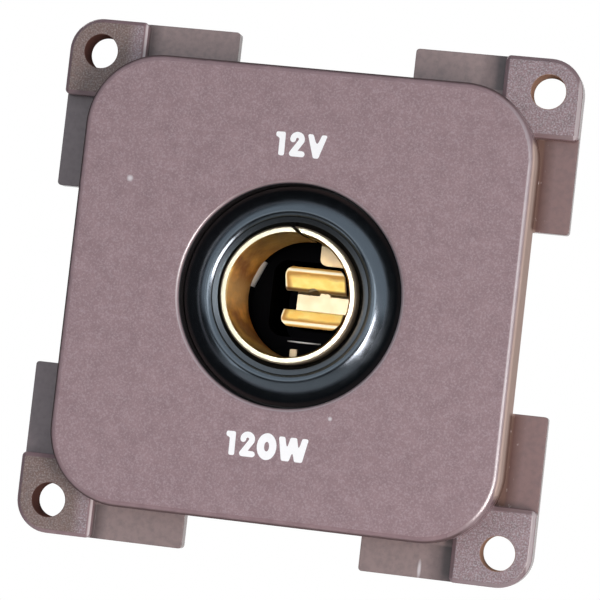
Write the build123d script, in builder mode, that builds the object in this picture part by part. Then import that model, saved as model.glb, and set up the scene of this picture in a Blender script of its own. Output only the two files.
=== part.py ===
"""Square 12 V socket insert: a moulded fascia with a small round power socket in its centre.

X is to the right, Z is up and the front faces -Y. The origin is on the socket's axis, in the plane of the
corner lugs' rear faces, which lie on the panel. Heights run from that plane towards the front, so what is
behind the panel has a negative height. All sizes are in millimetres.
"""

import os

from build123d import *

os.makedirs("parts", exist_ok=True)

# Fascia, seen from the front
plate_side = 44.6
plate_corner_radius = 7.4
hole_pitch = 45.0
hole_diameter = 3.4
lug_corner_radius = 3.3  # round the screw hole
lug_side = 7.8
lug_step_radius = 0.5  # where a lug steps down to a flange arm
arm_gap = 17.8  # clear middle of each side, between two flange arms
arm_corner_radius = 0.35

# Fascia, heights and walls
face_height = 6.7
lug_height = 2.9
arm_height = 1.35
plate_wall = 2.0
skirt_wall = 1.8
edge_round = 0.7
lug_bevel = 0.4

# Recess in the fascia that takes the ring, and the boss behind it
recess_depth = 3.0
recess_gap = 0.15  # radial, round the ring
mouth_bevel = 0.42
seat_wall = 2.2
boss_wall = 1.15
rib_thickness = 1.2

# Ring screwed on the sleeve from the front
ring_gap = 0.05  # radial, to the sleeve
ring_width = 3.05  # radial
ring_below_face = 0.2  # crest of the ring
ring_crest_inset = 0.53  # radial, from the inside of the ring to its crest
ring_crest_drop = 0.25  # height of the slope inside the crest
ring_crest_round = 0.85  # radius of the curve outside the crest
ring_flank_start = 55.0  # degrees on that curve where the straight flank begins

# Black socket body
sleeve_wall = 0.95  # round the barrel
sleeve_below_face = 0.5
sleeve_lip = 0.5  # front end of the sleeve, radial
sleeve_lip_drop = 0.09  # height that the lip slopes down by towards the barrel
sleeve_slope = 0.85  # height of the steeper slope inside the lip
hole_gap = 0.15  # radial, sleeve in its hole
flange_width = 2.6  # radial, out from the sleeve
flange_thickness = 2.5
body_wall = 2.25  # round the barrel, behind the flange
floor_wall = 3.0
body_edge_bevel = 0.6

# Brass barrel
barrel_bore_radius = 6.0
barrel_sheet = 0.7
barrel_length = 10.65
barrel_above_face = 0.7
barrel_gap = 0.05  # radial, in the body's bore
rim_bevel = 0.15
seam_width = 0.3
seam_slant = -38.0  # degrees from X, seen from the front
seam_middle = 0.15
bend_radius = 0.2

# Tabs turned in at the barrel's far end: middle along X, width, and distance of the end from the axis
wide_tab_middle = 2.3
wide_tab_width = 2.9
wide_tab_reach = 3.8
wide_tab_corner_radius = 0.7
narrow_tab_middle = -0.85
narrow_tab_width = 0.7
narrow_tab_reach = 4.85
narrow_tab_corner_radius = 0.15

# Legs that run on straight from the barrel's far end
leg_width = 2.8
leg_angle = 157.0
leg_pocket_depth = 1.5
slot_gap = 0.1  # all round a leg or tail in its slot

# Inside of the body behind the barrel
ledge_below_barrel = 2.45
block_reach = 4.0  # from the axis to the lower support block
block_width = 3.4
block_bevel = 0.2  # front edge of the lower support block
block_margin = 0.2  # beside the wide tab, on the upper support block
block_set_back = 0.4  # of the upper support block from the wide tab's end

# Spring clip in the middle
clip_rise = 0.28  # middle of the clip above the axis
clip_shift = -0.1  # middle of the clip to the right of the axis
clip_width = 6.3
clip_sheet = 0.5
clip_throat = 1.72  # where the wings' lines cross the legs' lines, before the bend is rounded
upper_wing_reach = 3.02  # from the middle of the clip to the inside of the tip
lower_wing_reach = 2.32
clip_base = 4.4  # between the legs of the U, inside
clip_depth = 8.7  # wing tips to the base
clip_wing = 2.0  # wing tips to the throat
clip_tip_below_ledge = 0.9
clip_throat_round = 1.2
throat_groove_x = -0.36  # groove in the upper leg, seen as an arch at the throat
throat_groove_radius = 0.62
throat_groove_drop = 0.09  # of its middle below the crossing of the lines
throat_groove_length = 2.7
clip_base_round = 0.8
clip_tip_round = 1.3
clip_room_side = 0.9
clip_room_above = 0.85
clip_room_round = 1.5
tail_width = 3.0

# Blade terminals
blade_width = 6.3
blade_sheet = 0.8
blade_length = 8.0
blade_hole = 1.7
blade_hole_from_tip = 3.0
blade_tip_bevel = 0.8
foot_bend_radius = 0.3
foot_corner_radius = 1.0
foot_margin = 0.8  # on both sides of the slot for the leg or tail
negative_blade_rise = 1.0  # middle of the minus blade above the middle of the leg's slot
stake_length = 0.6  # leg or tail end that stands out of its foot

# Worked out from the sizes above
overall_side = hole_pitch + 2 * lug_corner_radius
cavity_side = plate_side - 2 * skirt_wall
seat_front = face_height - recess_depth
seat_rear = seat_front - seat_wall
plate_rear = face_height - plate_wall
ring_crest = face_height - ring_below_face
sleeve_front = face_height - sleeve_below_face
flange_rear = seat_rear - flange_thickness
barrel_front = face_height + barrel_above_face
barrel_rear = barrel_front - barrel_length
barrel_outer_radius = barrel_bore_radius + barrel_sheet
body_bore_radius = barrel_outer_radius + barrel_gap
body_radius = body_bore_radius + body_wall
sleeve_radius = body_bore_radius + sleeve_wall
flange_radius = sleeve_radius + flange_width
ring_inner_radius = sleeve_radius + ring_gap
ring_crest_radius = ring_inner_radius + ring_crest_inset
ring_radius = ring_inner_radius + ring_width
recess_radius = ring_radius + recess_gap
boss_radius = recess_radius + boss_wall
tab_front = barrel_rear - bend_radius
tab_rear = tab_front - barrel_sheet
ledge = barrel_rear - ledge_below_barrel
clip_tip = ledge - clip_tip_below_ledge
clip_base_front = clip_tip - clip_depth
clip_base_rear = clip_base_front - clip_sheet
body_rear = clip_base_rear - floor_wall
stake_end = body_rear - blade_sheet - stake_length
leg_middle_radius = barrel_bore_radius + barrel_sheet / 2
leg_slot_depth = barrel_sheet + 2 * slot_gap
leg_slot_width = leg_width + 2 * slot_gap
wing_middle = clip_rise + (upper_wing_reach - lower_wing_reach) / 2
wing_span = upper_wing_reach + lower_wing_reach + 2 * clip_sheet
tail_x = clip_shift + clip_sheet / 2 - clip_width / 2
blade_tip = body_rear - blade_sheet - blade_length
nearness = 0.001  # for picking edges by their place

# Radius to the right and height upwards, for turned profiles
turned = Plane(origin=(0, 0, 0), x_dir=(1, 0, 0), z_dir=(0, 0, -1))
# Place along Z to the right and height upwards, for the clip
clip_side = Plane(origin=(clip_shift, 0, 0), x_dir=(0, 0, 1), z_dir=(1, 0, 0))


def level(height):
    """Plane parallel to the panel, facing the front."""
    return Plane.XZ.offset(height)


def on_outline(point, from_middle):
    """True on the fascia's outer outline, at that distance along a side from the side's middle."""
    nearer, further = sorted((abs(point.X), max(abs(point.Y), abs(point.Z))))
    return abs(further - overall_side / 2) < nearness and abs(nearer - from_middle) < nearness


# Fascia: tray with a skirt, flange arms, raised lugs, and a recess for the ring
with BuildPart() as fascia_housing:
    with BuildSketch(level(0)):
        RectangleRounded(plate_side, plate_side, plate_corner_radius)
    extrude(amount=face_height)
    fillet(fascia_housing.faces().sort_by(Axis.Y)[0].edges(), edge_round)
    with BuildSketch(level(0)):
        RectangleRounded(overall_side, overall_side, lug_corner_radius)
    extrude(amount=arm_height)
    with BuildSketch(level(0)) as lugs:
        with GridLocations(overall_side - lug_side, overall_side - lug_side, 2, 2):
            Rectangle(lug_side, lug_side)
        RectangleRounded(overall_side, overall_side, lug_corner_radius, mode=Mode.INTERSECT)
        step_corners = lugs.vertices().filter_by(lambda v: on_outline(v, overall_side / 2 - lug_side))
        fillet(step_corners, lug_step_radius)
    extrude(amount=lug_height)
    lug_edges = fascia_housing.edges().filter_by_position(Axis.Y, -lug_height, -lug_height)
    outer_edges = lug_edges.filter_by(lambda e: max(abs(e.center().X), abs(e.center().Z)) > plate_side / 2)
    chamfer(outer_edges, lug_bevel)
    with BuildSketch(level(0)):
        Rectangle(arm_gap, overall_side)
        Rectangle(overall_side, arm_gap)
    extrude(amount=arm_height, mode=Mode.SUBTRACT)
    upright_edges = fascia_housing.edges().filter_by(Axis.Y)
    fillet(upright_edges.filter_by(lambda e: on_outline(e.center(), arm_gap / 2)), arm_corner_radius)
    with BuildSketch(level(0)):
        RectangleRounded(cavity_side, cavity_side, plate_corner_radius - skirt_wall)
    extrude(amount=plate_rear, mode=Mode.SUBTRACT)
    with BuildSketch(level(seat_rear)):
        Circle(boss_radius)
        Rectangle(cavity_side + skirt_wall, rib_thickness)
        Rectangle(rib_thickness, cavity_side + skirt_wall)
    extrude(amount=plate_rear - seat_rear)
    with BuildSketch(level(0)):
        Circle(sleeve_radius + hole_gap)
        with GridLocations(hole_pitch, hole_pitch, 2, 2):
            Circle(hole_diameter / 2)
    extrude(amount=face_height, mode=Mode.SUBTRACT)
    with BuildSketch(turned):
        with BuildLine():
            Polyline(
                (0, seat_front),
                (recess_radius, seat_front),
                (recess_radius, face_height - mouth_bevel),
                (recess_radius + mouth_bevel, face_height),
                (0, face_height),
                close=True,
            )
        make_face()
    revolve(axis=Axis.Y, mode=Mode.SUBTRACT)

# Ring: turned, with a crest that slopes off inside and rounds off to a straight flank outside
with BuildPart() as front_ring:
    with BuildSketch(turned):
        with BuildLine():
            crest_curve = CenterArc(
                (ring_crest_radius, ring_crest - ring_crest_round),
                ring_crest_round,
                start_angle=ring_flank_start,
                arc_size=90 - ring_flank_start,
            )
            flank_start = crest_curve @ 0
            flank_slope = (crest_curve % 0).Y / (crest_curve % 0).X
            flank_end = flank_start.Y + flank_slope * (ring_radius - flank_start.X)
            Polyline(
                crest_curve @ 1,
                (ring_inner_radius, ring_crest - ring_crest_drop),
                (ring_inner_radius, seat_front),
                (ring_radius, seat_front),
                (ring_radius, flank_end),
                flank_start,
            )
        make_face()
    revolve(axis=Axis.Y)

# Body: turned sleeve with a flange behind the seat, supports for the tabs, room for the clip, and slots
with BuildPart() as socket_body:
    with BuildSketch(turned):
        with BuildLine():
            Polyline(
                (body_bore_radius, ledge),
                (body_bore_radius, sleeve_front - sleeve_lip_drop - sleeve_slope),
                (sleeve_radius - sleeve_lip, sleeve_front - sleeve_lip_drop),
                (sleeve_radius, sleeve_front),
                (sleeve_radius, seat_rear),
                (flange_radius, seat_rear),
                (flange_radius, flange_rear),
                (body_radius, flange_rear),
                (body_radius, body_rear + body_edge_bevel),
                (body_radius - body_edge_bevel, body_rear),
                (0, body_rear),
                (0, ledge),
                close=True,
            )
        make_face()
    revolve(axis=Axis.Y)
    with BuildSketch(level(ledge)):
        with Locations((0, -block_reach - body_radius / 2)):
            Rectangle(block_width, body_radius)
        with Locations((wide_tab_middle, wide_tab_reach + block_set_back + body_radius / 2)):
            Rectangle(wide_tab_width + 2 * block_margin, body_radius)
        Circle((body_bore_radius + sleeve_radius) / 2, mode=Mode.INTERSECT)
    extrude(amount=tab_rear - ledge)
    block_edges = socket_body.edges().filter_by(Axis.X).filter_by_position(Axis.Y, -tab_rear, -tab_rear)
    chamfer(block_edges.sort_by(Axis.Z)[0], block_bevel)
    with BuildSketch(level(clip_base_rear)):
        with Locations((clip_shift, clip_rise)):
            RectangleRounded(
                clip_width + 2 * clip_room_side,
                2 * upper_wing_reach + 2 * clip_room_above,
                clip_room_round,
            )
    extrude(amount=ledge - clip_base_rear, mode=Mode.SUBTRACT)
    with BuildSketch(level(ledge)):
        with PolarLocations(leg_middle_radius, 1, leg_angle):
            Rectangle(leg_slot_depth, leg_slot_width)
    extrude(amount=-leg_pocket_depth - slot_gap, mode=Mode.SUBTRACT)
    with BuildSketch(level(ledge)):
        with PolarLocations(leg_middle_radius, 1, leg_angle + 180):
            Rectangle(leg_slot_depth, leg_slot_width)
    extrude(amount=body_rear - ledge, mode=Mode.SUBTRACT)
    with BuildSketch(level(clip_base_rear)):
        with Locations((tail_x, clip_rise)):
            Rectangle(clip_sheet + 2 * slot_gap, tail_width + 2 * slot_gap)
    extrude(amount=-floor_wall, mode=Mode.SUBTRACT)

# Tabs of the barrel: the bend is turned all round, and kept only where a tab is
with BuildPart() as barrel_tabs:
    with BuildSketch(turned):
        with BuildLine():
            bend_centre = (barrel_bore_radius - bend_radius, barrel_rear)
            inner_bend = CenterArc(bend_centre, bend_radius, start_angle=0, arc_size=-90)
            outer_bend = CenterArc(bend_centre, bend_radius + barrel_sheet, start_angle=0, arc_size=-90)
            Polyline(
                inner_bend @ 1,
                (wide_tab_reach / 2, tab_front),
                (wide_tab_reach / 2, tab_rear),
                outer_bend @ 1,
            )
            Line(inner_bend @ 0, outer_bend @ 0)
        make_face()
    revolve(axis=Axis.Y)
    with BuildSketch(level(tab_rear)):
        with Locations((wide_tab_middle, wide_tab_reach + barrel_outer_radius / 2)):
            RectangleRounded(wide_tab_width, barrel_outer_radius, wide_tab_corner_radius)
        with Locations((narrow_tab_middle, -narrow_tab_reach - barrel_outer_radius / 2)):
            RectangleRounded(narrow_tab_width, barrel_outer_radius, narrow_tab_corner_radius)
    extrude(amount=barrel_rear - tab_rear, mode=Mode.INTERSECT)

# Barrel: rolled strip with a slanted seam at the top, the tabs, a short leg and a long leg
with BuildPart() as barrel_contact:
    with BuildSketch(level(barrel_rear)):
        Circle(barrel_outer_radius)
        Circle(barrel_bore_radius, mode=Mode.SUBTRACT)
        with Locations((seam_middle, barrel_bore_radius + barrel_sheet / 2)):
            Rectangle(4 * barrel_sheet, seam_width, rotation=seam_slant, mode=Mode.SUBTRACT)
    extrude(amount=barrel_length)
    rim = barrel_contact.faces().sort_by(Axis.Y)[0]
    chamfer(rim.edges().filter_by(GeomType.CIRCLE), rim_bevel)
    add(barrel_tabs.part)
    for angle, end in ((leg_angle, ledge - leg_pocket_depth), (leg_angle + 180, stake_end)):
        with BuildSketch(level(barrel_rear)):
            with PolarLocations(leg_middle_radius, 1, angle):
                Rectangle(barrel_sheet, leg_width)
            Circle(barrel_outer_radius, mode=Mode.INTERSECT)
        extrude(amount=end - barrel_rear)

# Clip: one strip folded to a U that narrows to a throat and flares to two wings, with a tail
with BuildPart() as centre_clip:
    with BuildSketch(clip_side):
        with BuildLine():
            FilletPolyline(
                (clip_rise + upper_wing_reach, clip_tip),
                (clip_rise + clip_throat / 2, clip_tip - clip_wing),
                (clip_rise + clip_base / 2, clip_base_front),
                (clip_rise - clip_base / 2, clip_base_front),
                (clip_rise - clip_throat / 2, clip_tip - clip_wing),
                (clip_rise - lower_wing_reach, clip_tip),
                radius=[clip_throat_round, clip_base_round, clip_base_round, clip_throat_round],
            )
            offset(amount=clip_sheet, side=Side.LEFT)
        make_face()
    extrude(amount=clip_width / 2, both=True)
    with BuildSketch(level(clip_tip - clip_wing)):
        with Locations((clip_shift, wing_middle)):
            Rectangle(clip_width, wing_span)
            RectangleRounded(clip_width, wing_span, clip_tip_round, mode=Mode.SUBTRACT)
    extrude(amount=clip_wing, mode=Mode.SUBTRACT)
    with BuildSketch(level(clip_tip - clip_wing)):
        with Locations((throat_groove_x, clip_rise + clip_throat / 2 - throat_groove_drop)):
            Circle(throat_groove_radius)
    extrude(amount=throat_groove_length, both=True, mode=Mode.SUBTRACT)
    with BuildSketch(level(clip_base_rear)):
        with Locations((tail_x, clip_rise)):
            Rectangle(clip_sheet, tail_width)
    extrude(amount=stake_end - clip_base_rear)


def blade_strip(slot_x, slot_half_width, middle_z):
    """Bent strip: a foot flat on the body's rear, wide enough for a slot, and a blade beside it."""
    blade_x = slot_x - slot_half_width - foot_margin - blade_sheet
    foot_end_x = slot_x + slot_half_width + foot_margin
    with BuildPart() as strip:
        with BuildSketch(turned):
            with BuildLine():
                FilletPolyline(
                    (foot_end_x, body_rear),
                    (blade_x, body_rear),
                    (blade_x, blade_tip),
                    radius=foot_bend_radius + blade_sheet,
                )
                offset(amount=blade_sheet, side=Side.LEFT)
            make_face()
        extrude(amount=blade_width / 2, both=True)
        chamfer(strip.edges().filter_by(Axis.X).sort_by(Axis.Y)[-2:], blade_tip_bevel)
        fillet(strip.edges().filter_by(Axis.Y).sort_by(Axis.X)[-2:], foot_corner_radius)
        with BuildSketch(Plane.YZ.offset(blade_x)):
            with Locations((-blade_tip - blade_hole_from_tip, 0)):
                Circle(blade_hole / 2)
        extrude(amount=blade_sheet, mode=Mode.SUBTRACT)
    return strip.part.moved(Location((0, 0, middle_z)))


# Plus terminal, staked to the clip's tail
with BuildPart() as positive_terminal:
    add(blade_strip(tail_x, clip_sheet / 2 + slot_gap, clip_rise))
    with BuildSketch(level(body_rear)):
        with Locations((tail_x, clip_rise)):
            Rectangle(clip_sheet + 2 * slot_gap, tail_width + 2 * slot_gap)
    extrude(amount=-blade_sheet, mode=Mode.SUBTRACT)

# Minus terminal, staked to the barrel's long leg
with BuildSketch() as leg_slot:
    with PolarLocations(leg_middle_radius, 1, leg_angle + 180):
        Rectangle(leg_slot_depth, leg_slot_width)
leg_box = leg_slot.sketch.bounding_box()
with BuildPart() as negative_terminal:
    add(blade_strip(leg_box.center().X, leg_box.size.X / 2, leg_box.center().Y + negative_blade_rise))
    with BuildSketch(level(body_rear)):
        with PolarLocations(leg_middle_radius, 1, leg_angle + 180):
            Rectangle(leg_slot_depth, leg_slot_width)
    extrude(amount=-blade_sheet, mode=Mode.SUBTRACT)

for piece, name in (
    (fascia_housing, "fascia_housing"),
    (front_ring, "front_ring"),
    (socket_body, "socket_body"),
    (barrel_contact, "barrel_contact"),
    (centre_clip, "centre_clip"),
    (positive_terminal, "positive_terminal"),
    (negative_terminal, "negative_terminal"),
):
    piece.part.label = name
    export_step(piece.part, f"parts/{name}.step")
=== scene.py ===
"""Looks of the square 12 V socket insert: brown fascia, glossy black socket, brass contacts and white print.

Everything is in metres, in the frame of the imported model: X to the right, Z up, and the front faces -Y.
"""

import math

import bmesh
import bpy
from mathutils import Matrix, Vector


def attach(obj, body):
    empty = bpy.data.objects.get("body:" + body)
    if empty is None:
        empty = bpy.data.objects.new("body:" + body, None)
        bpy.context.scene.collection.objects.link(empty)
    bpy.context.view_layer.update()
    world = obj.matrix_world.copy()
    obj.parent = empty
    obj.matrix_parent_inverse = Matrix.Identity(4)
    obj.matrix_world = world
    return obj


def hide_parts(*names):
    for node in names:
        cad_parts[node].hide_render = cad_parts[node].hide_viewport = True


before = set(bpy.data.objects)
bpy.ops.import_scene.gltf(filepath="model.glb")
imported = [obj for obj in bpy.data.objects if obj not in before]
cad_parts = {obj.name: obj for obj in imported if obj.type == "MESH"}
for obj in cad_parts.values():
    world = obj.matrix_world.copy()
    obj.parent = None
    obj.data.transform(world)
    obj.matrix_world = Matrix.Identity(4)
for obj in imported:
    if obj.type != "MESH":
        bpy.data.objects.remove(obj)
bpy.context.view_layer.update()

MM = 0.001

# Camera, as in the photograph: turned to the socket's right, a little below it, and rolled, in degrees
CAMERA_PLACE = Vector((53.257, -286.0, -13.131)) * MM
CAMERA_AZIMUTH = 10.57
CAMERA_ELEVATION = -2.58
CAMERA_ROLL = 6.51
CAMERA_LENS = 176.3
CAMERA_SENSOR = 36.0
CAMERA_CLIP_START = 10 * MM

# Fascia: heights towards the front, then distances from the socket's middle
FACE_HEIGHT = 6.7 * MM
LUG_HEIGHT = 2.9 * MM
ARM_HEIGHT = 1.35 * MM
LUG_START = 18 * MM
LUG_END = 25.8 * MM
SKIRT_SIDE = 22.3 * MM
ARM_END = 9 * MM

# Fascia's surfaces: how deep its flat faces count, where their edges begin below them, where these end,
# the radius that softens them, and the place to the right of which they have more sheen
FLAT_DEPTH = 0.008 * MM
EDGE_START = 0.015 * MM
FACE_EDGE = 0.45 * MM
LUG_EDGE = 0.35 * MM
EDGE_SOFTENING = 0.2 * MM
SHEEN_FROM = 17 * MM

# Screw holes: from the socket's middle, and their radius
HOLE_PLACE = 22.5 * MM
HOLE_RADIUS = 1.7 * MM

# Mouth of the fascia's recess
MOUTH_RADIUS = 10.95 * MM
MOUTH_ROUND = 0.42 * MM

# Pale specks and a scratch on the fascia: middle, half width and half height
MARKS = (
    (Vector((-17.09, -6.7, 9.83)) * MM, 0.3 * MM, 0.3 * MM),
    (Vector((5.38, -6.7, -11.44)) * MM, 0.2 * MM, 0.2 * MM),
    (Vector((14.88, -1.35, -24.95)) * MM, 0.17 * MM, 0.85 * MM),
)
MARK_DEPTH = 0.4 * MM

# Barrel: heights of its ends, outer radius, and the seam in its rim
RIM_HEIGHT = 7.4 * MM
BARREL_END = -3.25 * MM
BARREL_RADIUS = 6.7 * MM
SEAM_MIDDLE = Vector((0.15, 0, 6.35)) * MM
SEAM_SLANT = math.radians(38)

# Clip: heights of its tips and throat, its sides, and how far in from its edges the painted highlights and
# shade are measured
CLIP_TIP = -6.6 * MM
CLIP_THROAT = -8.6 * MM
CLIP_LEFT = -3.25 * MM
CLIP_RIGHT = 3.05 * MM
CLIP_MARGIN = 2 * MM

# Middle of the front edge of the body's lower support block, where a highlight is painted
BLOCK_EDGE = Vector((-0.1, 4.35, -4.1)) * MM

# Ring, turned: heights of its foot and crest, and how far it leans outwards at each radius, in degrees
RING_FOOT = 3.7 * MM
RING_CREST = 6.5 * MM
RING_LEAN = (
    (7.76, -32), (7.95, -27), (8.1, -19), (8.28, 0), (8.45, 16), (8.6, 26), (8.8, 31),
    (9.2, 34.5), (9.5, 37), (10.0, 38), (10.79, 39),
)

# Radius from which a brown reflection of the mouth is painted on the ring
RING_REFLECTION_FROM = 10.3 * MM

# Print on the fascia
CAP_HEIGHT = 2.33 * MM
PRINT_MIDDLE = -0.5 * MM
PRINT_BASELINES = {"12V": 13.48 * MM, "120W": -15.97 * MM}
PRINT_PROUD = 0.02 * MM
PRINT_SUNK = 0.02 * MM

# Colours of the fascia
DEEP_BROWN = (0.238, 0.154, 0.164, 1)
PALE_BROWN = (0.306, 0.204, 0.214, 1)
# Painted shade on the left pads
LEFT_PAD_SHADE = (0.165, 0.105, 0.085, 1)
PAD_MOTTLE = (0.13, 0.105, 0.1, 1)
# Flecks: a painted shade copy for the left pads, then those of the other pads and of the front
PAD_FLECK_SHADED = (0.5, 0.44, 0.42, 1)
PAD_FLECK_RIGHT = (0.55, 0.54, 0.56, 1)
FRONT_FLECK = (0.54, 0.44, 0.46, 1)
# Arms: painted shade on the left ones, the plain colour, and painted warm light on the right ones
ARM_SHADED = (0.205, 0.162, 0.167, 1)
ARM_MIDDLE = (0.285, 0.21, 0.2, 1)
ARM_WARM_LIGHT = (0.242, 0.15, 0.142, 1)
ARM_MOTTLE = (0.11, 0.085, 0.09, 1)
ARM_SHADE = (0.055, 0.042, 0.045, 1)
# Right skirt: painted light on its side, painted shade at its foot above the arms, and painted glints on
# moulding flash at its foot
SKIRT_PAINTED_LIGHT = (0.57, 0.43, 0.37, 1)
SKIRT_FOOT_SHADE = (0.11, 0.045, 0.03, 1)
SKIRT_FLASH_GLINT = (0.6, 0.5, 0.47, 1)
# Painted shade on the front's edges, and painted highlights on the lugs' edges that face right
EDGE_SHADE = (0.05, 0.036, 0.032, 1)
EDGE_HIGHLIGHT = (0.66, 0.58, 0.58, 1)
MARK_PALE = (0.62, 0.57, 0.58, 1)
# Hole walls: painted shade on the left ones and painted light on the right ones
HOLE_SHADED = (0.11, 0.052, 0.042, 1)
HOLE_LIT = (0.36, 0.22, 0.155, 1)
# Painted shade in the mouth's recess
RECESS_SHADE = (0.022, 0.018, 0.018, 1)

# Colours of the ring and the body, and the bluish tint of what they reflect
RING_BLACK = (0.0024, 0.003, 0.0036, 1)
RING_HAZE = (0.004, 0.005, 0.006, 1)
# Painted brown reflection of the mouth on the ring's outer edge
RING_BROWN_REFLECTION = (0.045, 0.032, 0.031, 1)
RING_TINT = (0.76, 0.88, 1.0, 1)
BODY_BLACK = (0.003, 0.003, 0.003, 1)
BODY_HAZE = (0.006, 0.006, 0.0065, 1)
# Painted shade inside the body, and a painted highlight on its support block's edge
BODY_INSIDE_SHADE = (0.0015, 0.0015, 0.0018, 1)
BODY_EDGE_HIGHLIGHT = (0.4, 0.39, 0.38, 1)
BODY_TINT = (0.84, 0.92, 1.0, 1)

# Colours of the brass
WALL_GOLDEN = (1.0, 0.58, 0.15, 1)
WALL_TARNISH = (0.36, 0.11, 0.012, 1)
# Painted highlight at the barrel wall's sides, and painted shade above and below them
WALL_HIGHLIGHT = (1.0, 0.74, 0.38, 1)
WALL_SHADE = (0.12, 0.075, 0.02, 1)
# Painted light on the left leg and painted shade on the tabs behind the barrel
LEG_LIGHT = (0.98, 0.97, 0.92, 1)
TAB_SHADE = (0.265, 0.22, 0.14, 1)
# Painted shade on the barrel's outside, next to the sleeve
OUTSIDE_SHADE = (0.45, 0.36, 0.25, 1)
RIM_CREAM = (0.62, 0.575, 0.43, 1)
SEAM_DULL = (0.1, 0.088, 0.056, 1)
WING_YELLOW = (1.0, 0.80, 0.28, 1)
WING_GOLDEN = (1.0, 0.66, 0.17, 1)
# Wings: a painted shade band inside their edges, painted highlights on the edges, and painted shade at their
# right end and throat
WING_BAND_SHADE = (0.42, 0.17, 0.03, 1)
WING_EDGE_HIGHLIGHT = (1.0, 0.92, 0.72, 1)
WING_SHADE = (0.10, 0.04, 0.015, 1)
THROAT_SHADE = (0.11, 0.045, 0.015, 1)
BASE_PALE = (0.60, 0.48, 0.29, 1)
BASE_DULL = (0.53, 0.39, 0.21, 1)
TERMINAL_BRIGHT = (0.90, 0.74, 0.42, 1)
TERMINAL_TARNISH = (0.82, 0.62, 0.32, 1)

# Colours of the print
PRINT_THIN = (0.95, 0.94, 0.93, 1)
PRINT_FULL = (1.0, 0.99, 0.98, 1)

# Gloss of plain plastic, and the higher index of refraction of edges with sheen, the ring and the sleeve
PLASTIC_SPECULAR = 0.5
PLASTIC_IOR = 1.5
SHEEN_IOR = 2.6
RING_IOR = 2.4
SLEEVE_IOR = 2.1


# Nodes


def add_node(tree, kind, inputs=None, **settings):
    """New node with its settings, and its inputs either linked or set."""
    made = tree.nodes.new(kind)
    for name, value in settings.items():
        setattr(made, name, value)
    for key, value in (inputs or {}).items():
        if isinstance(value, bpy.types.NodeSocket):
            tree.links.new(value, made.inputs[key])
        else:
            made.inputs[key].default_value = value
    return made


def blank_material(name):
    """Material with no nodes yet."""
    material = bpy.data.materials.new(name)
    material.use_nodes = True
    material.node_tree.nodes.clear()
    return material, material.node_tree


def new_material(name):
    """Material with only a principled shader and its output."""
    material, tree = blank_material(name)
    shader = add_node(tree, "ShaderNodeBsdfPrincipled")
    add_node(tree, "ShaderNodeOutputMaterial", {"Surface": shader.outputs["BSDF"]})
    return material, tree, shader


def math_node(tree, operation, *values):
    """Result of a sum on one to three values."""
    return add_node(tree, "ShaderNodeMath", dict(enumerate(values)), operation=operation).outputs[0]


def vector_node(tree, operation, *vectors):
    """Vector made from one or two vectors."""
    inputs = dict(enumerate(vectors))
    return add_node(tree, "ShaderNodeVectorMath", inputs, operation=operation).outputs["Vector"]


def measure(tree, operation, *vectors):
    """Number made from one or two vectors."""
    inputs = dict(enumerate(vectors))
    return add_node(tree, "ShaderNodeVectorMath", inputs, operation=operation).outputs["Value"]


def times(tree, first, second):
    """Product of two values."""
    return math_node(tree, "MULTIPLY", first, second)


def greatest(tree, first, second):
    """Larger of two values."""
    return math_node(tree, "MAXIMUM", first, second)


def least(tree, first, second, blend):
    """Smaller of two values, with a smooth change from one to the other."""
    return math_node(tree, "SMOOTH_MIN", first, second, blend)


def ramp(tree, value, low, high, to_low=0.0, to_high=1.0):
    """Value brought from the range low to high to another range, and kept inside it."""
    inputs = {"Value": value, "From Min": low, "From Max": high, "To Min": to_low, "To Max": to_high}
    return add_node(tree, "ShaderNodeMapRange", inputs).outputs["Result"]


def fade(tree, value, low, high):
    """1 up to the lower limit, and from there down to 0 at the upper one."""
    return ramp(tree, value, low, high, 1.0, 0.0)


def shift(tree, share, start, end):
    """Value that goes from start to end while a share goes from 0 to 1."""
    return ramp(tree, share, 0.0, 1.0, start, end)


def between(tree, value, low, high, blend):
    """1 where a value lies between two limits, with a short blend at both."""
    return times(
        tree,
        ramp(tree, value, low - blend, low + blend),
        fade(tree, value, high - blend, high + blend),
    )


def mix(tree, factor, first, second):
    """Colour that goes from the first to the second."""
    inputs = {0: factor, 6: first, 7: second}
    return add_node(tree, "ShaderNodeMix", inputs, data_type="RGBA").outputs[2]


def place(tree):
    """Coordinates in metres, fixed to the piece."""
    return add_node(tree, "ShaderNodeTexCoord").outputs["Object"]


def noise(tree, grain, detail=2.0, roughness=0.5, stretch=(1, 1, 1)):
    """Soft noise from 0 to 1, with lumps of the given size in metres, longer where stretch is under 1."""
    spread = vector_node(tree, "MULTIPLY", place(tree), stretch)
    inputs = {"Vector": spread, "Scale": 1 / grain, "Detail": detail, "Roughness": roughness}
    return add_node(tree, "ShaderNodeTexNoise", inputs).outputs["Fac"]


def bump(tree, height, depth, strength=1.0, edge_radius=None):
    """Normal of a surface with relief of the given depth in metres, and soft edges if they have a radius."""
    inputs = {"Height": height, "Distance": depth, "Strength": strength}
    if edge_radius:
        softened = add_node(tree, "ShaderNodeBevel", {"Radius": edge_radius}, samples=4)
        inputs["Normal"] = softened.outputs["Normal"]
    return add_node(tree, "ShaderNodeBump", inputs).outputs["Normal"]


# Places on the socket


def height_towards_front(tree):
    """Distance in metres from the plane of the lugs' rear faces towards the front."""
    split = add_node(tree, "ShaderNodeSeparateXYZ", {"Vector": place(tree)})
    return times(tree, split.outputs["Y"], -1.0)


def across(tree):
    """Distance in metres to the right of the socket's axis."""
    return add_node(tree, "ShaderNodeSeparateXYZ", {"Vector": place(tree)}).outputs["X"]


def upwards(tree):
    """Distance in metres above the socket's axis."""
    return add_node(tree, "ShaderNodeSeparateXYZ", {"Vector": place(tree)}).outputs["Z"]


def off_level(tree):
    """Distance in metres above or below the socket's axis."""
    return math_node(tree, "ABSOLUTE", upwards(tree))


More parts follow.
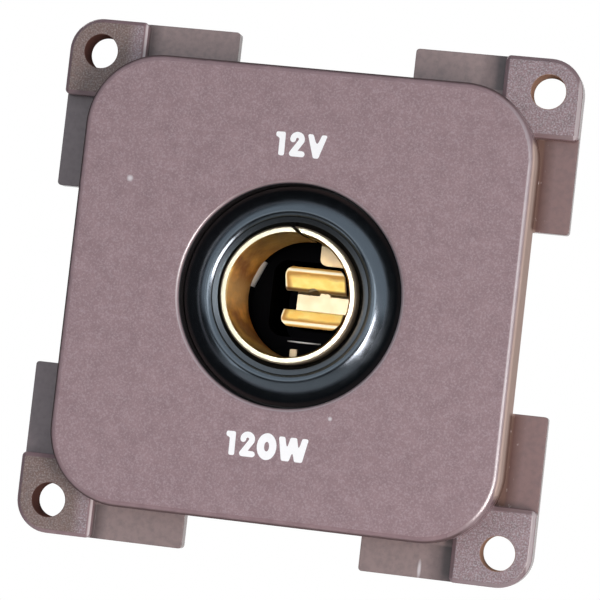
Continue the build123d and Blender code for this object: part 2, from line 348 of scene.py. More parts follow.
def flat_length(tree, vector):
    """Length of a vector seen from the front."""
    return measure(tree, "LENGTH", vector_node(tree, "MULTIPLY", vector, (1, 0, 1)))


def distance_from_axis(tree):
    """Distance in metres from the socket's axis."""
    return flat_length(tree, place(tree))


def distance_from_holes(tree):
    """Distance in metres from the middle of the nearest screw hole."""
    folded = vector_node(tree, "ABSOLUTE", place(tree))
    return flat_length(tree, vector_node(tree, "SUBTRACT", folded, (HOLE_PLACE, 0, HOLE_PLACE)))


# Fascia


def flat_zone(tree, height, level):
    """Share of the flat face at a level."""
    return between(tree, height, level - FLAT_DEPTH, level + 0.1 * MM, FLAT_DEPTH / 2)


def edge_zone(tree, height, level, depth):
    """Share of the edge below the flat face at a level."""
    return between(tree, height, level - depth, level - EDGE_START, 0.01 * MM)


def off_lugs(tree):
    """1 level with the arms and the socket's middle, and 0 level with the lugs."""
    return fade(tree, off_level(tree), LUG_START - 0.1 * MM, LUG_START)


def dark_edge_zone(tree, height):
    """Share of the painted shade line below the front's left, upper and lower edges."""
    band = between(tree, height, FACE_HEIGHT - 1.0 * MM, FACE_HEIGHT - 0.2 * MM, 0.06 * MM)
    off_mouth = ramp(tree, distance_from_axis(tree), 15 * MM, 16 * MM)
    off_right = fade(tree, across(tree), 19 * MM, 20.5 * MM)
    return times(tree, band, times(tree, off_right, off_mouth))


def skirt_zone(tree, height):
    """Share of the skirt's right side, between the lugs, where light is painted."""
    on_side = between(tree, across(tree), SKIRT_SIDE - 0.4 * MM, SKIRT_SIDE + 0.2 * MM, 0.1 * MM)
    below_edge = fade(tree, height, FACE_HEIGHT - 0.3 * MM, FACE_HEIGHT - 0.12 * MM)
    return times(tree, times(tree, on_side, off_lugs(tree)), below_edge)


def fascia_zones(tree):
    """Share of each kind of surface on the fascia, from 0 to 1."""
    height = height_towards_front(tree)
    from_axis, from_holes = distance_from_axis(tree), distance_from_holes(tree)
    return {
        "front": flat_zone(tree, height, FACE_HEIGHT),
        "pads": flat_zone(tree, height, LUG_HEIGHT),
        "face_edges": edge_zone(tree, height, FACE_HEIGHT, FACE_EDGE),
        "lug_edges": edge_zone(tree, height, LUG_HEIGHT, LUG_EDGE),
        "arms": fade(tree, height, ARM_HEIGHT + 0.2 * MM, ARM_HEIGHT + 0.8 * MM),
        "dark_edges": dark_edge_zone(tree, height),
        "skirt": skirt_zone(tree, height),
        "holes": fade(tree, from_holes, HOLE_RADIUS + 0.02 * MM, HOLE_RADIUS + 0.06 * MM),
        "recess": fade(tree, from_axis, MOUTH_RADIUS + 0.02 * MM, MOUTH_RADIUS + 0.08 * MM),
    }


def moulded_colour(tree, zones):
    """Mauve brown in soft patches, flecked on the front and pads, with painted shade on the left pads:
    darker, with fewer and darker flecks.
    """
    patches = ramp(tree, noise(tree, 1.6 * MM, detail=5.0, roughness=0.7), 0.3, 0.7)
    base = mix(tree, patches, DEEP_BROWN, PALE_BROWN)
    # Painted shade on the left pads: a darker colour, and fewer and darker flecks
    left = fade(tree, across(tree), -20 * MM, -19 * MM)
    padded = mix(tree, times(tree, times(tree, zones["pads"], left), 0.9), base, LEFT_PAD_SHADE)
    mottles = ramp(tree, noise(tree, 0.5 * MM, detail=4.0, roughness=0.65), 0.45, 0.7, 0.0, 0.5)
    mottled = mix(tree, times(tree, mottles, zones["pads"]), padded, PAD_MOTTLE)
    flecks = ramp(tree, noise(tree, 0.17 * MM, roughness=0.6), 0.45, 0.8)
    pad_flecks = times(tree, zones["pads"], shift(tree, left, 0.85, 0.62))
    fleck_share = times(tree, flecks, greatest(tree, times(tree, zones["front"], 0.42), pad_flecks))
    pad_fleck = mix(tree, left, PAD_FLECK_RIGHT, PAD_FLECK_SHADED)
    return mix(tree, fleck_share, mottled, mix(tree, zones["pads"], FRONT_FLECK, pad_fleck))


def lug_shade(tree):
    """Share of the dark strips on the upper and lower arms, beside the lugs."""
    right = across(tree)
    off_left_lugs = ramp(tree, right, -18.3 * MM, -18.1 * MM)
    left_strip = times(tree, off_left_lugs, ramp(tree, right, -17.8 * MM, -16.6 * MM, 0.6, 0.0))
    off_right_lugs = ramp(tree, right, 18.1 * MM, 18.3 * MM, 0.7, 0.0)
    right_strip = times(tree, ramp(tree, right, 15.3 * MM, 17.2 * MM), off_right_lugs)
    off_skirt = ramp(tree, off_level(tree), SKIRT_SIDE, SKIRT_SIDE + 0.2 * MM)
    return times(tree, greatest(tree, left_strip, right_strip), off_skirt)


def arm_colour(tree):
    """Smooth flange arms: painted shade on the left, painted warm light on the right, mottled, and dark
    beside the lugs with painted shade and dirt.
    """
    right = across(tree)
    # Painted shade on the left arms and painted warm light on the right ones
    left_shaded = mix(tree, ramp(tree, right, -22.5 * MM, -21 * MM), ARM_SHADED, ARM_MIDDLE)
    plain = mix(tree, ramp(tree, right, 21 * MM, 22.5 * MM), left_shaded, ARM_WARM_LIGHT)
    mottles = ramp(tree, noise(tree, 0.6 * MM, detail=4.0, roughness=0.65), 0.42, 0.68, 0.0, 0.3)
    mottled = mix(tree, mottles, plain, ARM_MOTTLE)
    return mix(tree, lug_shade(tree), mottled, ARM_SHADE)


def skirt_light_and_shade(tree, zones, colour):
    """Colour with painted light on the skirt's right side, painted shade at its foot above the arms, and
    painted glints on moulding flash at its foot.
    """
    height, right = height_towards_front(tree), across(tree)
    # Painted light on the skirt's right side
    lit = mix(tree, zones["skirt"], colour, SKIRT_PAINTED_LIGHT)
    beside = times(tree, ramp(tree, right, 21 * MM, 21.5 * MM), fade(tree, right, 22.5 * MM, 23.8 * MM))
    foot = times(tree, beside, ramp(tree, height, ARM_HEIGHT - 0.6 * MM, ARM_HEIGHT - 0.3 * MM))
    off_middle = ramp(tree, off_level(tree), ARM_END - 0.2 * MM, ARM_END + 0.2 * MM)
    above_arms = times(tree, off_lugs(tree), off_middle)
    low = ramp(tree, height, ARM_HEIGHT + 1.2 * MM, ARM_HEIGHT + 3.4 * MM, 0.8, 0.0)
    # Painted shade where the skirt meets the arms
    foot_shaded = mix(tree, times(tree, times(tree, foot, low), above_arms), lit, SKIRT_FOOT_SHADE)
    # Pale specks painted as glints on moulding flash at the skirt's foot
    glint_specks = ramp(tree, noise(tree, 0.35 * MM, stretch=(1, 1, 0.4)), 0.66, 0.72)
    glinting = times(tree, glint_specks, times(tree, foot, zones["arms"]))
    return mix(tree, glinting, foot_shaded, SKIRT_FLASH_GLINT)


def edge_light_and_shade(tree, zones, colour):
    """Colour with painted shade on the front's edges, deepest on the left, and painted highlights on the
    lugs' edges that face right.
    """
    right = across(tree)
    # Painted shade on the front's edges, deepest on the left
    depth = ramp(tree, right, -SKIRT_SIDE + 0.5 * MM, -SKIRT_SIDE + 1.5 * MM, 0.9, 0.62)
    edged = mix(tree, times(tree, zones["dark_edges"], depth), colour, EDGE_SHADE)
    # Painted highlights on the lugs' edges that face right
    inner = between(tree, right, -LUG_START - 0.25 * MM, -LUG_START + 0.05 * MM, 0.06 * MM)
    outer = between(tree, right, LUG_END - 0.45 * MM, LUG_END + 0.05 * MM, 0.05 * MM)
    painted_light = times(tree, zones["lug_edges"], greatest(tree, inner, times(tree, outer, 0.7)))
    return mix(tree, painted_light, edged, EDGE_HIGHLIGHT)


def marked(tree, colour):
    """Colour with the fascia's few pale specks and its scratch."""
    for middle, half_width, half_height in MARKS:
        moved = vector_node(tree, "SUBTRACT", place(tree), middle)
        scale = (1 / half_width, 1 / MARK_DEPTH, 1 / half_height)
        reach = measure(tree, "LENGTH", vector_node(tree, "MULTIPLY", moved, scale))
        colour = mix(tree, fade(tree, reach, 0.4, 1.3), colour, MARK_PALE)
    return colour


def fascia_colour(tree, zones):
    """Colour of the whole fascia, with painted shade and light on its hole walls and painted shade in the
    recess.
    """
    plain = mix(tree, zones["arms"], moulded_colour(tree, zones), arm_colour(tree))
    painted_light = edge_light_and_shade(tree, zones, skirt_light_and_shade(tree, zones, plain))
    # Painted shade on the left hole walls and painted light on the right ones
    hole_light_and_shade = mix(tree, ramp(tree, across(tree), -1 * MM, 1 * MM), HOLE_SHADED, HOLE_LIT)
    pierced = mix(tree, zones["holes"], marked(tree, painted_light), hole_light_and_shade)
    # Painted shade in the recess
    return mix(tree, zones["recess"], pierced, RECESS_SHADE)


def textured_plastic(name, sheen_from, edge_radius=None):
    """Brown moulded plastic: spark-eroded on the front and the lugs, and smooth elsewhere.

    Edges have more sheen to the right of the place given, and holes, dark edges and right skirt have none.
    """
    material, tree, shader = new_material(name)
    zones = fascia_zones(tree)
    tree.links.new(fascia_colour(tree, zones), shader.inputs["Base Color"])

    textured = greatest(tree, zones["front"], zones["pads"])
    edges = greatest(tree, zones["face_edges"], zones["lug_edges"])
    sheen = times(tree, edges, ramp(tree, across(tree), sheen_from, sheen_from + 4 * MM))
    dull = greatest(tree, zones["holes"], greatest(tree, zones["dark_edges"], zones["skirt"]))
    grain = noise(tree, 0.2 * MM)
    eroded = ramp(tree, grain, 0.3, 0.7, 0.42, 0.58)
    smooth = shift(tree, sheen, 0.26, 0.32)
    tree.links.new(shift(tree, textured, smooth, eroded), shader.inputs["Roughness"])
    tree.links.new(shift(tree, sheen, PLASTIC_IOR, SHEEN_IOR), shader.inputs["IOR"])
    tree.links.new(shift(tree, dull, PLASTIC_SPECULAR, 0.0), shader.inputs["Specular IOR Level"])
    relief = bump(tree, times(tree, grain, textured), 0.02 * MM, 0.5, edge_radius)
    tree.links.new(relief, shader.inputs["Normal"])
    return material


# Ring, body, brass and print


def ring_plastic():
    """Black plastic with a high polish, a faint orange-peel surface, slight haze, and a painted brown
    reflection of the mouth round its outer edge.
    """
    material, tree, shader = new_material("glossy_black_ring")
    haze = noise(tree, 1.4 * MM, detail=3.0)
    black = mix(tree, haze, RING_BLACK, RING_HAZE)
    # Painted brown reflection of the mouth on the ring's outer edge
    brown_reflection = ramp(tree, distance_from_axis(tree), RING_REFLECTION_FROM, RING_REFLECTION_FROM + 0.3 * MM)
    tree.links.new(mix(tree, brown_reflection, black, RING_BROWN_REFLECTION), shader.inputs["Base Color"])
    tree.links.new(ramp(tree, haze, 0.3, 0.7, 0.15, 0.25), shader.inputs["Roughness"])
    shader.inputs["IOR"].default_value = RING_IOR
    shader.inputs["Specular Tint"].default_value = RING_TINT
    peel = noise(tree, 0.9 * MM)
    tree.links.new(bump(tree, peel, 0.01 * MM, 0.4), shader.inputs["Normal"])
    return material


def distance_from_block_edge(tree):
    """Distance in metres from the support block's edge where a highlight is painted, which counts for less
    along the edge.
    """
    moved = vector_node(tree, "SUBTRACT", place(tree), BLOCK_EDGE)
    return measure(tree, "LENGTH", vector_node(tree, "MULTIPLY", moved, (0.09, 1, 1)))


def body_plastic():
    """Black plastic, glossy on the sleeve at the front and satin outside, with painted shade and no gloss
    inside, and a painted highlight on the support block's edge.
    """
    material, tree, shader = new_material("black_body")
    haze = noise(tree, 1.4 * MM, detail=3.0)
    sleeve = ramp(tree, height_towards_front(tree), 4.0 * MM, 5.6 * MM)
    within = fade(tree, distance_from_axis(tree), BARREL_RADIUS + 0.3 * MM, BARREL_RADIUS + 0.4 * MM)
    inside = times(tree, within, shift(tree, sleeve, 1.0, 0.0))
    # Painted shade inside
    dark = mix(tree, inside, mix(tree, haze, BODY_BLACK, BODY_HAZE), BODY_INSIDE_SHADE)
    # Painted highlight on the support block's edge
    painted_light = fade(tree, distance_from_block_edge(tree), 0.1 * MM, 0.2 * MM)
    tree.links.new(mix(tree, painted_light, dark, BODY_EDGE_HIGHLIGHT), shader.inputs["Base Color"])
    tree.links.new(shift(tree, sleeve, 0.4, 0.22), shader.inputs["Roughness"])
    tree.links.new(shift(tree, sleeve, PLASTIC_IOR, SLEEVE_IOR), shader.inputs["IOR"])
    tree.links.new(shift(tree, inside, PLASTIC_SPECULAR, 0.0), shader.inputs["Specular IOR Level"])
    shader.inputs["Specular Tint"].default_value = BODY_TINT
    tree.links.new(bump(tree, haze, 0.01 * MM, 0.4), shader.inputs["Normal"])
    return material


def seam_tip(tree):
    """Share of the strip's pointed end, above the seam, where it is dull."""
    upright = (math.sin(SEAM_SLANT), 0, math.cos(SEAM_SLANT))
    above = measure(tree, "DOT_PRODUCT", vector_node(tree, "SUBTRACT", place(tree), SEAM_MIDDLE), upright)
    end = fade(tree, across(tree), 0.32 * MM, 0.42 * MM)
    return times(tree, ramp(tree, above, 0.1 * MM, 0.16 * MM), end)


def barrel_wall(tree):
    """Tarnished golden inside of the barrel, with a painted highlight at the sides and painted shade above
    and below.
    """
    tarnish = ramp(tree, noise(tree, 2.4 * MM, detail=3.0, stretch=(1, 0.35, 1)), 0.4, 0.6)
    golden = mix(tree, tarnish, WALL_GOLDEN, WALL_TARNISH)
    level = off_level(tree)
    # Painted highlight at the sides, and painted shade above and below them
    highlighted = mix(tree, ramp(tree, level, 0.5 * MM, 2.2 * MM, 0.6, 0.0), golden, WALL_HIGHLIGHT)
    return mix(tree, ramp(tree, level, 2.0 * MM, 5.5 * MM, 0.0, 0.85), highlighted, WALL_SHADE)


def barrel_brass():
    """Rolled brass: deep golden inside, with painted light on the left leg and painted shade on the tabs
    behind, painted shade outside, and bright on the rim.
    """
    material, tree, shader = new_material("barrel_brass")
    height = height_towards_front(tree)
    behind = fade(tree, height, BARREL_END - 0.3 * MM, BARREL_END)
    # Painted light on the left leg and painted shade on the tabs
    sheet = mix(tree, fade(tree, across(tree), -4.0 * MM, -3.5 * MM), TAB_SHADE, LEG_LIGHT)
    dull = mix(tree, behind, barrel_wall(tree), sheet)
    # Painted shade on the barrel's outside
    outside = ramp(tree, distance_from_axis(tree), BARREL_RADIUS - 0.14 * MM, BARREL_RADIUS - 0.1 * MM)
    outside_shaded = mix(tree, outside, dull, OUTSIDE_SHADE)
    rim = ramp(tree, height, RIM_HEIGHT - 0.03 * MM, RIM_HEIGHT - 0.01 * MM)
    rimmed = mix(tree, rim, outside_shaded, RIM_CREAM)
    tipped = mix(tree, times(tree, rim, seam_tip(tree)), rimmed, SEAM_DULL)
    tree.links.new(tipped, shader.inputs["Base Color"])
    tree.links.new(shift(tree, behind, 1.0, 0.1), shader.inputs["Metallic"])
    rolling = noise(tree, 0.5 * MM)
    rough = ramp(tree, rolling, 0.3, 0.7, 0.4, 0.5)
    tree.links.new(times(tree, rough, shift(tree, rim, 1.0, 0.5)), shader.inputs["Roughness"])
    tree.links.new(bump(tree, rolling, 0.004 * MM, 0.4), shader.inputs["Normal"])
    return material


def wing_colour(tree, cloud):
    """Yellow wings with painted highlights on their edges, a painted shade band inside these, and painted
    shade at the right end and throat.
    """
    height, right = height_towards_front(tree), across(tree)
    margin_mm = CLIP_MARGIN / MM
    from_tip = ramp(tree, height, CLIP_TIP - CLIP_MARGIN, CLIP_TIP, margin_mm, 0.0)
    from_left = ramp(tree, right, CLIP_LEFT, CLIP_LEFT + CLIP_MARGIN, 0.0, margin_mm)
    from_right = ramp(tree, right, CLIP_RIGHT - CLIP_MARGIN, CLIP_RIGHT, margin_mm, 0.0)
    from_edge = least(tree, from_tip, from_left, 0.6)
    yellow = mix(tree, ramp(tree, cloud, 0.35, 0.65), WING_YELLOW, WING_GOLDEN)
    ragged = math_node(tree, "ADD", from_edge, ramp(tree, cloud, 0.3, 0.7, -0.1, 0.15))
    # Painted shade band inside the edges, painted highlights on the edges, and painted shade at the right end
    band = times(tree, ramp(tree, from_edge, 0.12, 0.22), ramp(tree, ragged, 0.35, 0.75, 0.85, 0.0))
    banded = mix(tree, band, yellow, WING_BAND_SHADE)
    edged = mix(tree, fade(tree, from_edge, 0.08, 0.18), banded, WING_EDGE_HIGHLIGHT)
    ended = mix(tree, fade(tree, from_right, 0.06, 0.2), edged, WING_SHADE)
    throat = ramp(tree, height, CLIP_THROAT + 0.3 * MM, CLIP_THROAT + 0.5 * MM, 0.92, 0.0)
    upper_throat = times(tree, throat, ramp(tree, upwards(tree), 0.0, 0.3 * MM))
    return mix(tree, upper_throat, ended, THROAT_SHADE)


def clip_brass():
    """Spring brass: yellow wings and a paler base."""
    material, tree, shader = new_material("clip_brass")
    cloud = noise(tree, 1.2 * MM, detail=3.0)
    wing = ramp(tree, height_towards_front(tree), CLIP_THROAT - 0.3 * MM, CLIP_THROAT)
    base = mix(tree, cloud, BASE_PALE, BASE_DULL)
    tree.links.new(mix(tree, wing, base, wing_colour(tree, cloud)), shader.inputs["Base Color"])
    shader.inputs["Metallic"].default_value = 0.1
    tree.links.new(ramp(tree, cloud, 0.3, 0.7, 0.4, 0.5), shader.inputs["Roughness"])
    tree.links.new(bump(tree, noise(tree, 0.4 * MM), 0.004 * MM, 0.4), shader.inputs["Normal"])
    return material


def terminal_brass():
    """Plain rolled brass with faint tarnish."""
    material, tree, shader = new_material("terminal_brass")
    tarnish = ramp(tree, noise(tree, 2.5 * MM, detail=3.0), 0.35, 0.65)
    tree.links.new(mix(tree, tarnish, TERMINAL_BRIGHT, TERMINAL_TARNISH), shader.inputs["Base Color"])
    shader.inputs["Metallic"].default_value = 1.0
    rolling = noise(tree, 0.5 * MM)
    tree.links.new(ramp(tree, rolling, 0.3, 0.7, 0.25, 0.35), shader.inputs["Roughness"])
    tree.links.new(bump(tree, rolling, 0.004 * MM, 0.4), shader.inputs["Normal"])
    return material


def print_paint():
    """White pad print, slightly uneven."""
    material, tree, shader = new_material("white_print")
    cover = noise(tree, 0.3 * MM)
    tree.links.new(mix(tree, cover, PRINT_THIN, PRINT_FULL), shader.inputs["Base Color"])
    shader.inputs["Roughness"].default_value = 0.5
    tree.links.new(bump(tree, cover, 0.01 * MM, 0.3), shader.inputs["Normal"])
    return material


def dress(node, material):
    """Gives a node of the frame its material."""
    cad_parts[node].material_slots[0].material = material


dress("fascia_housing", textured_plastic("textured_brown_plastic", SHEEN_FROM, EDGE_SOFTENING))
dress("socket_body", body_plastic())
dress("barrel_contact", barrel_brass())
dress("centre_clip", clip_brass())
terminal_finish = terminal_brass()
dress("positive_terminal", terminal_finish)
dress("negative_terminal", terminal_finish)


# Ring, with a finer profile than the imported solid's, and the round edge of the mouth


def new_object(name, shape, material):
    """Object in the scene, from a finished shape."""
    mesh = bpy.data.meshes.new(name)
    shape.to_mesh(mesh)
    shape.free()
    mesh.materials.append(material)
    made = bpy.data.objects.new(name, mesh)
    bpy.context.scene.collection.objects.link(made)
    return made


def ring_profile(step=0.03 * MM):
    """Radius and height along the ring's front, from its inside to its outside."""
    radii = [RING_LEAN[0][0] * MM]
    while radii[-1] + step < RING_LEAN[-1][0] * MM:
        radii.append(radii[-1] + step)

    def lean(radius):
        for (r0, a0), (r1, a1) in zip(RING_LEAN, RING_LEAN[1:]):
            if radius <= r1 * MM:
                return a0 + (a1 - a0) * (radius / MM - r0) / (r1 - r0)
        return RING_LEAN[-1][1]

    heights = [0.0]
    for radius in radii[1:]:
        heights.append(heights[-1] - step * math.tan(math.radians(lean(radius - step / 2))))
    lift = RING_CREST - max(heights)
    front = [(radius, height + lift) for radius, height in zip(radii, heights)]
    return [(front[0][0], RING_FOOT)] + front + [(front[-1][0], RING_FOOT)]


def mouth_profile(steps=8):
    """Round edge of the fascia's mouth, closed behind by the bevel that it lies on."""
    turns = [math.radians(90 + 90 * i / steps) for i in range(steps + 1)]
    middle, height = MOUTH_RADIUS + MOUTH_ROUND, FACE_HEIGHT - MOUTH_ROUND
    return [(middle + MOUTH_ROUND * math.cos(t), height + MOUTH_ROUND * math.sin(t)) for t in turns]


def add_turned(name, profile, material, node=None, segments=192):
    """Closed profile turned about the socket's axis, in place of a node if one is named."""
    shape = bmesh.new()
    turns = [2 * math.pi * i / segments for i in range(segments)]
    rings = [
        [shape.verts.new((radius * math.cos(t), -height, radius * math.sin(t))) for t in turns]
        for radius, height in profile
    ]
    for i, ring in enumerate(rings):
        for k in range(segments):
            shape.faces.new((rings[i - 1][k - 1], rings[i - 1][k], ring[k], ring[k - 1]))
    bmesh.ops.recalc_face_normals(shape, faces=shape.faces)
    piece = new_object(name, shape, material)
    piece.data.shade_smooth()
    piece.data.set_sharp_from_angle(angle=math.radians(35))
    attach(piece, "root")
    if node:
        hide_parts(node)


mouth_finish = textured_plastic("brown_mouth_edge", -2 * MOUTH_RADIUS)
add_turned("ring_turned", ring_profile(), ring_plastic(), "front_ring")
add_turned("mouth_edge", mouth_profile(), mouth_finish)


# Print: each glyph is one flat outline, in units of the cap height, from its left end and the baseline


def rounded(corners, radius, steps=5):
    """Closed outline through the corners, each rounded by an arc of at most that radius."""
    outline = []
    for i, corner in enumerate(corners):
        point = Vector(corner)
        before = Vector(corners[i - 1]) - point
        after = Vector(corners[(i + 1) % len(corners)]) - point
        half_turn = before.angle(after) / 2
        reach = min(radius / math.tan(half_turn), 0.45 * before.length, 0.45 * after.length)
        start = point + before.normalized() * reach
        end = point + after.normalized() * reach
        for step in range(steps + 1):
            share = step / steps
            outline.append(start * (1 - share) ** 2 + point * 2 * share * (1 - share) + end * share**2)
    return outline


def ribbon(path, width, steps=6):
    """Closed outline of a stroke of even width along a path, with round ends and corners."""
    round_trip = path + path[-2:0:-1]
    outline = []
    for i, point in enumerate(round_trip):
        back = (point - round_trip[i - 1]).normalized()
        ahead = (round_trip[(i + 1) % len(round_trip)] - point).normalized()
        turn = math.acos(max(-1.0, min(1.0, back.dot(ahead))))
        if back.cross(ahead) > 1e-6:
            along = (back + ahead).normalized()
            outline.append(point + Vector((-along.y, along.x)) * width / 2 / max(0.3, along.dot(ahead)))
            continue
        start = math.atan2(back.x, -back.y)
        for step in range(steps + 1):
            angle = start - turn * step / steps
            outline.append(point + Vector((math.cos(angle), math.sin(angle))) * width / 2)
    return outline


def ellipse(middle, width, height, steps=32):
    """Closed outline of an ellipse."""
    turns = [2 * math.pi * i / steps for i in range(steps)]
    return [Vector(middle) + Vector((width / 2 * math.cos(t), height / 2 * math.sin(t))) for t in turns]


def two_path():
    """Middle line of the figure two: a bow, a slanted stroke and a foot."""
    bow_middle, bow_radius = Vector((0.345, 0.735)), 0.185
    bow = [math.radians(angle) for angle in range(185, -50, -15)]
    path = [bow_middle + Vector((math.cos(t), math.sin(t))) * bow_radius for t in bow]
    return path + [Vector((0.17, 0.125)), Vector((0.59, 0.125))]


CORNER = 0.09
STROKE = 0.25
ONE = ((0, 0.99), (0.40, 1.0), (0.42, 0), (0.17, 0), (0.16, 0.73), (0.0, 0.8))
VEE = ((0, 1), (0.24, 1), (0.43, 0.52), (0.61, 1), (0.85, 1), (0.54, 0), (0.32, 0))
DOUBLE_U = (
    (0, 1), (0.27, 1), (0.39, 0.5), (0.5, 1), (0.77, 1), (0.88, 0.5), (1.0, 1),
    (1.27, 1), (1.08, 0), (0.75, 0), (0.635, 0.42), (0.52, 0), (0.19, 0),
)
ZERO_MIDDLE = (0.415, 0.51)
ADVANCE = {"1": 0.575, "2": 0.76, "0": 0.885, "V": 0.85, "W": 1.27}
OUTLINES = {
    "1": (rounded(ONE, CORNER),),
    "2": (ribbon(two_path(), STROKE),),
    "0": (ellipse(ZERO_MIDDLE, 0.83, 1.12), ellipse(ZERO_MIDDLE, 0.21, 0.40)),
    "V": (rounded(VEE, CORNER),),
    "W": (rounded(DOUBLE_U, CORNER),),
}


def add_glyph(shape, outlines, left, baseline):
    """Thin solid of one glyph on the fascia's front."""
    front, back = -FACE_HEIGHT - PRINT_PROUD, -FACE_HEIGHT + PRINT_SUNK
    loops = []
    for outline in outlines:
        flat = [(left + CAP_HEIGHT * p.x, baseline + CAP_HEIGHT * p.y) for p in outline]
        loops.append([[shape.verts.new((x, y, z)) for x, z in flat] for y in (front, back)])
    for front_loop, back_loop in loops:
        for i in range(len(front_loop)):
            shape.faces.new((front_loop[i - 1], front_loop[i], back_loop[i], back_loop[i - 1]))
    for side in (0, 1):
        if len(loops) == 1:
            shape.faces.new(loops[0][side])
        else:
            outer, inner = loops[0][side], loops[1][side]
            for i in range(len(outer)):
                shape.faces.new((outer[i - 1], outer[i], inner[i], inner[i - 1]))


def add_print(name, text, material):
    """One line of print, centred on its middle."""
    width = CAP_HEIGHT * sum(ADVANCE[letter] for letter in text)
    left = PRINT_MIDDLE - width / 2
    shape = bmesh.new()
    for letter in text:
        add_glyph(shape, OUTLINES[letter], left, PRINT_BASELINES[text])
        left += CAP_HEIGHT * ADVANCE[letter]
    bmesh.ops.recalc_face_normals(shape, faces=shape.faces)
    bmesh.ops.triangulate(shape, faces=shape.faces)
    piece = new_object(name, shape, material)
    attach(piece, "root")


paint = print_paint()
add_print("print_12_volts", "12V", paint)
add_print("print_120_watts", "120W", paint)


# Stage: floor, lamps, backdrop and camera

FLOOR_LEVEL = -90 * MM
FLOOR_RADIUS = 160 * MM
BACKDROP_DISTANCE = 1200 * MM
BACKDROP_SIDE = 2700 * MM
LAMP_DISTANCE = 600 * MM
WARM_WHITE = (1.0, 0.96, 0.9)
COOL_WHITE = (0.95, 0.98, 1.0)
SKY_BLUE = (0.84, 0.92, 1.0, 1)


def pale_floor():
    """Pale matt floor that keeps shadows and fades out towards its edge."""
    material, tree = blank_material("pale_floor")
    plain = add_node(tree, "ShaderNodeBsdfDiffuse", {"Color": (0.85, 0.85, 0.85, 1)})
    clear = add_node(tree, "ShaderNodeBsdfTransparent")
    reach = measure(tree, "LENGTH", place(tree))
    share = ramp(tree, reach, 0.5 * FLOOR_RADIUS, 0.98 * FLOOR_RADIUS)
    mixed = add_node(tree, "ShaderNodeMixShader", {0: share, 1: plain.outputs[0], 2: clear.outputs[0]})
    add_node(tree, "ShaderNodeOutputMaterial", {"Surface": mixed.outputs[0]})
    return material


def add_floor():
    """Round floor well below the socket."""
    shape = bmesh.new()
    bmesh.ops.create_circle(shape, cap_ends=True, radius=FLOOR_RADIUS, segments=96)
    floor = new_object("floor", shape, pale_floor())
    floor.location = (0, 0, FLOOR_LEVEL)


add_floor()


def towards(azimuth, elevation):
    """Direction from the socket, turned from the front to the right and upwards by degrees."""
    a, e = math.radians(azimuth), math.radians(elevation)
    return Vector((math.sin(a) * math.cos(e), -math.cos(a) * math.cos(e), math.sin(e)))


def hang_lamp(name, lamp, azimuth, elevation, distance):
    """Object of a lamp that faces the socket."""
    made = bpy.data.objects.new(name, lamp)
    bpy.context.scene.collection.objects.link(made)
    direction = towards(azimuth, elevation)
    made.location = direction * distance
    made.rotation_euler = direction.to_track_quat("Z", "Y").to_euler()
    return made


def add_lamp(name, azimuth, elevation, size, power, colour, distance=LAMP_DISTANCE):
    """Soft lamp of a width and height, which the camera doesn't see."""
    lamp = bpy.data.lights.new(name, "AREA")
    lamp.shape = "RECTANGLE"
    lamp.size, lamp.size_y = size
    lamp.energy = power
    lamp.color = colour
    hang_lamp(name, lamp, azimuth, elevation, distance).visible_camera = False


def add_snoot(name, azimuth, elevation, distance, reach, power):
    """Lamp with a narrow beam that lights a disc of the given radius round the socket's axis."""
    lamp = bpy.data.lights.new(name, "SPOT")
    lamp.spot_size = 2 * math.atan(reach / distance)
    lamp.spot_blend = 0.15
    lamp.shadow_soft_size = 2 * MM
    lamp.energy = power
    hang_lamp(name, lamp, azimuth, elevation, distance)


add_lamp("key_lamp", azimuth=41, elevation=-17, size=(0.16, 0.28), power=2.2, colour=(1.0, 0.92, 0.91))
add_lamp("front_card", azimuth=-10.6, elevation=2.6, size=(0.26, 0.26), power=0.07, colour=WARM_WHITE)
add_lamp("near_card", azimuth=18, elevation=2.6, size=(0.28, 0.17), power=0.33, colour=COOL_WHITE)
add_lamp("left_card", azimuth=-30, elevation=2.6, size=(0.12, 0.12), power=0.03, colour=COOL_WHITE)
add_lamp(
    "low_left_card",
    azimuth=-44,
    elevation=-30,
    size=(0.042, 0.042),
    power=0.006,
    colour=(0.9, 0.95, 1.0),
    distance=120 * MM,
)
add_lamp("rear_lamp", azimuth=208, elevation=25, size=(0.3, 0.3), power=2.4, colour=(1.0, 0.98, 0.96))
add_snoot("contact_lamp", azimuth=0, elevation=0, distance=500 * MM, reach=5.8 * MM, power=13)


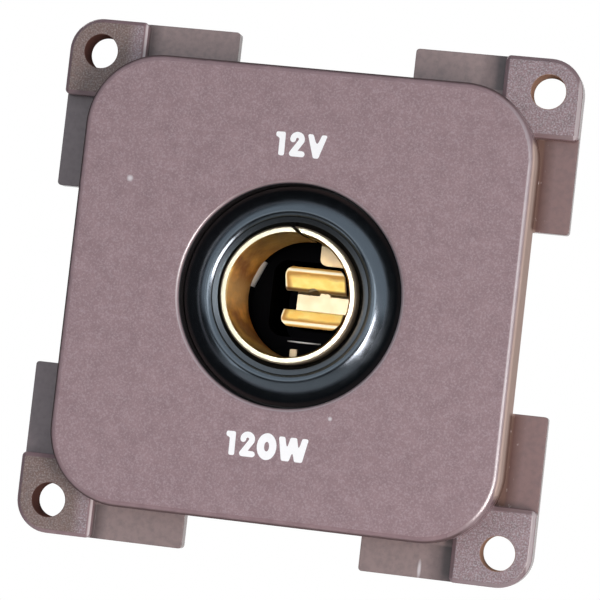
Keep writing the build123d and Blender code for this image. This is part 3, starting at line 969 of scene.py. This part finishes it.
def light_world():
    """Soft bluish light from the front, dim below the horizon, at the sides and behind."""
    world = bpy.data.worlds.new("studio")
    bpy.context.scene.world = world
    world.use_nodes = True
    tree = world.node_tree
    tree.nodes.clear()
    direction = add_node(tree, "ShaderNodeTexCoord").outputs["Generated"]
    split = add_node(tree, "ShaderNodeSeparateXYZ", {"Vector": direction})
    above = ramp(tree, split.outputs["Z"], -0.22, 0.0, 0.05, 0.78)
    front = ramp(tree, split.outputs["Y"], -0.38, -0.26, 1.0, 0.08)
    light = add_node(tree, "ShaderNodeBackground", {"Color": SKY_BLUE, "Strength": times(tree, above, front)})
    add_node(tree, "ShaderNodeOutputWorld", {"Surface": light.outputs[0]})


light_world()


def seen_directly(tree):
    """1 for rays from the camera, mirrors and glass, and 0 for light on other surfaces."""
    rays = add_node(tree, "ShaderNodeLightPath").outputs
    mirrored = greatest(tree, rays["Is Camera Ray"], rays["Is Glossy Ray"])
    return greatest(tree, mirrored, rays["Is Transmission Ray"])


def white_sheet():
    """Paper that looks pure white and lights nothing."""
    material, tree = blank_material("white_backdrop")
    plain = add_node(tree, "ShaderNodeBsdfDiffuse", {"Color": (0.8, 0.8, 0.8, 1)})
    white = add_node(tree, "ShaderNodeEmission", {"Color": (1, 1, 1, 1), "Strength": 1.0})
    both = {0: seen_directly(tree), 1: plain.outputs[0], 2: white.outputs[0]}
    mixed = add_node(tree, "ShaderNodeMixShader", both)
    add_node(tree, "ShaderNodeOutputMaterial", {"Surface": mixed.outputs[0]})
    return material


def add_backdrop():
    """White sheet behind the socket, square to the camera."""
    shape = bmesh.new()
    bmesh.ops.create_grid(shape, x_segments=1, y_segments=1, size=BACKDROP_SIDE / 2)
    sheet = new_object("backdrop", shape, white_sheet())
    to_camera = towards(CAMERA_AZIMUTH, CAMERA_ELEVATION)
    sheet.location = -to_camera * BACKDROP_DISTANCE
    sheet.rotation_euler = to_camera.to_track_quat("Z", "Y").to_euler()


add_backdrop()


def add_camera():
    """Camera at the photograph's place."""
    lens = bpy.data.cameras.new("camera")
    lens.lens = CAMERA_LENS
    lens.sensor_width = CAMERA_SENSOR
    lens.clip_start = CAMERA_CLIP_START
    made = bpy.data.objects.new("camera", lens)
    bpy.context.scene.collection.objects.link(made)
    turn = Matrix.Rotation(math.radians(CAMERA_AZIMUTH), 4, "Z")
    tilt = Matrix.Rotation(math.radians(90 - CAMERA_ELEVATION), 4, "X")
    roll = Matrix.Rotation(math.radians(CAMERA_ROLL), 4, "Z")
    made.matrix_world = Matrix.Translation(CAMERA_PLACE) @ turn @ tilt @ roll
    bpy.context.scene.camera = made


add_camera()
bpy.context.scene.view_settings.view_transform = "Standard"
